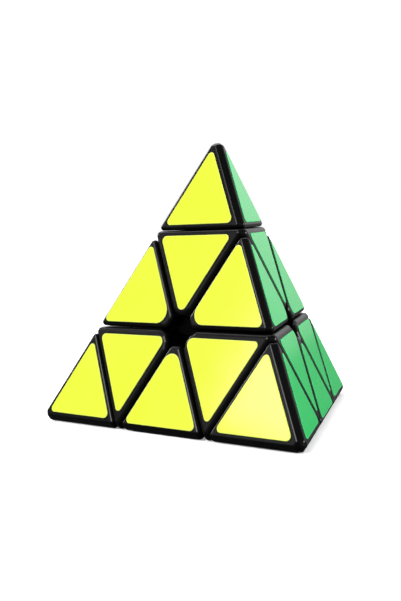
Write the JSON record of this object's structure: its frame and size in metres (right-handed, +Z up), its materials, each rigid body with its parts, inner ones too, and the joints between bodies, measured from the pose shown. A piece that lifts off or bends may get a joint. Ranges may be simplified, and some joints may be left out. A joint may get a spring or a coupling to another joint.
{
  "type": "pyramid twisty puzzle",
  "caption": "Tetrahedral twisty puzzle in three layers with turning tips, corner layers and edges, black plastic with a coloured sticker on every facet.",
  "frame": {"origin": "centre of the core, where the four corner axes cross; also the centroid of the whole puzzle", "axes": "+Z up through the top corner (a); -Y towards the yellow side; corner b at the lower left, c at the lower right and d at the back; the blue side lies flat below"},
  "size_m": [0.094, 0.0823, 0.0777],
  "materials": {
    "black_plastic": "satin moulded black",
    "steel": "plain zinc-plated steel",
    "sticker_yellow": "fluorescent yellow vinyl, semi-gloss",
    "sticker_green": "green vinyl, semi-gloss",
    "sticker_red": "red vinyl, semi-gloss",
    "sticker_blue": "blue vinyl, semi-gloss"
  },
  "bodies": {
    "core_unit": {"core": "black_plastic", "tension_screws": "steel", "tension_springs": "steel", "spring_washers": "steel"},
    "axial_piece_a": {"axial_a": "black_plastic", "sticker_axial_a_yellow": "sticker_yellow", "sticker_axial_a_green": "sticker_green", "sticker_axial_a_red": "sticker_red"},
    "tip_piece_a": {"tip_cap_a": "black_plastic", "tip_pivot_a": "black_plastic", "sticker_tip_a_yellow": "sticker_yellow", "sticker_tip_a_green": "sticker_green", "sticker_tip_a_red": "sticker_red"},
    "axial_piece_b": {"axial_b": "black_plastic", "sticker_axial_b_yellow": "sticker_yellow", "sticker_axial_b_red": "sticker_red", "sticker_axial_b_blue": "sticker_blue"},
    "tip_piece_b": {"tip_cap_b": "black_plastic", "tip_pivot_b": "black_plastic", "sticker_tip_b_yellow": "sticker_yellow", "sticker_tip_b_red": "sticker_red", "sticker_tip_b_blue": "sticker_blue"},
    "axial_piece_c": {"axial_c": "black_plastic", "sticker_axial_c_yellow": "sticker_yellow", "sticker_axial_c_green": "sticker_green", "sticker_axial_c_blue": "sticker_blue"},
    "tip_piece_c": {"tip_cap_c": "black_plastic", "tip_pivot_c": "black_plastic", "sticker_tip_c_yellow": "sticker_yellow", "sticker_tip_c_green": "sticker_green", "sticker_tip_c_blue": "sticker_blue"},
    "axial_piece_d": {"axial_d": "black_plastic", "sticker_axial_d_green": "sticker_green", "sticker_axial_d_red": "sticker_red", "sticker_axial_d_blue": "sticker_blue"},
    "tip_piece_d": {"tip_cap_d": "black_plastic", "tip_pivot_d": "black_plastic", "sticker_tip_d_green": "sticker_green", "sticker_tip_d_red": "sticker_red", "sticker_tip_d_blue": "sticker_blue"},
    "edge_piece_ab": {"edge_ab": "black_plastic", "sticker_edge_ab_yellow": "sticker_yellow", "sticker_edge_ab_red": "sticker_red"},
    "edge_piece_ac": {"edge_ac": "black_plastic", "sticker_edge_ac_yellow": "sticker_yellow", "sticker_edge_ac_green": "sticker_green"},
    "edge_piece_ad": {"edge_ad": "black_plastic", "sticker_edge_ad_green": "sticker_green", "sticker_edge_ad_red": "sticker_red"},
    "edge_piece_bc": {"edge_bc": "black_plastic", "sticker_edge_bc_yellow": "sticker_yellow", "sticker_edge_bc_blue": "sticker_blue"},
    "edge_piece_bd": {"edge_bd": "black_plastic", "sticker_edge_bd_red": "sticker_red", "sticker_edge_bd_blue": "sticker_blue"},
    "edge_piece_cd": {"edge_cd": "black_plastic", "sticker_edge_cd_green": "sticker_green", "sticker_edge_cd_blue": "sticker_blue"}
  },
  "joints": [
    {"name": "turn_a", "type": "hinge", "parent": "core_unit", "child": "axial_piece_a", "pos_m": [0, 0, 0], "axis": [0, 0, 1], "range_deg": [-240, 120]},
    {"name": "turn_b", "type": "hinge", "parent": "core_unit", "child": "axial_piece_b", "pos_m": [0, 0, 0], "axis": [-0.8165, -0.4714, -0.3333], "range_deg": [-240, 120]},
    {"name": "turn_c", "type": "hinge", "parent": "core_unit", "child": "axial_piece_c", "pos_m": [0, 0, 0], "axis": [0.8165, -0.4714, -0.3333], "range_deg": [-240, 120]},
    {"name": "turn_d", "type": "hinge", "parent": "core_unit", "child": "axial_piece_d", "pos_m": [0, 0, 0], "axis": [0, 0.9428, -0.3333], "range_deg": [-240, 120]},
    {"name": "twist_tip_a", "type": "hinge", "parent": "axial_piece_a", "child": "tip_piece_a", "pos_m": [0, 0, 0], "axis": [0, 0, 1], "continuous": true},
    {"name": "twist_tip_b", "type": "hinge", "parent": "axial_piece_b", "child": "tip_piece_b", "pos_m": [0, 0, 0], "axis": [-0.8165, -0.4714, -0.3333], "continuous": true},
    {"name": "twist_tip_c", "type": "hinge", "parent": "axial_piece_c", "child": "tip_piece_c", "pos_m": [0, 0, 0], "axis": [0.8165, -0.4714, -0.3333], "continuous": true},
    {"name": "twist_tip_d", "type": "hinge", "parent": "axial_piece_d", "child": "tip_piece_d", "pos_m": [0, 0, 0], "axis": [0, 0.9428, -0.3333], "continuous": true},
    {"name": "edge_ab_about_b", "type": "hinge", "parent": "axial_piece_a", "child": "edge_piece_ab", "pos_m": [0, 0, 0], "axis": [-0.8165, -0.4714, -0.3333], "range_deg": [-240, 120]},
    {"name": "edge_ac_about_c", "type": "hinge", "parent": "axial_piece_a", "child": "edge_piece_ac", "pos_m": [0, 0, 0], "axis": [0.8165, -0.4714, -0.3333], "range_deg": [-240, 120]},
    {"name": "edge_ad_about_d", "type": "hinge", "parent": "axial_piece_a", "child": "edge_piece_ad", "pos_m": [0, 0, 0], "axis": [0, 0.9428, -0.3333], "range_deg": [-240, 120]},
    {"name": "edge_bc_about_c", "type": "hinge", "parent": "axial_piece_b", "child": "edge_piece_bc", "pos_m": [0, 0, 0], "axis": [0.8165, -0.4714, -0.3333], "range_deg": [-240, 120]},
    {"name": "edge_bd_about_b", "type": "hinge", "parent": "axial_piece_d", "child": "edge_piece_bd", "pos_m": [0, 0, 0], "axis": [-0.8165, -0.4714, -0.3333], "range_deg": [-240, 120]},
    {"name": "edge_cd_about_d", "type": "hinge", "parent": "axial_piece_c", "child": "edge_piece_cd", "pos_m": [0, 0, 0], "axis": [0, 0.9428, -0.3333], "range_deg": [-240, 120]}
  ],
  "couplings": [
    {"joint": "edge_ab_about_b", "follows": "turn_b", "ratio": 1},
    {"joint": "edge_ac_about_c", "follows": "turn_c", "ratio": 1},
    {"joint": "edge_ad_about_d", "follows": "turn_d", "ratio": 1},
    {"joint": "edge_bc_about_c", "follows": "turn_c", "ratio": 1},
    {"joint": "edge_bd_about_b", "follows": "turn_b", "ratio": 1},
    {"joint": "edge_cd_about_d", "follows": "turn_d", "ratio": 1}
  ]
}
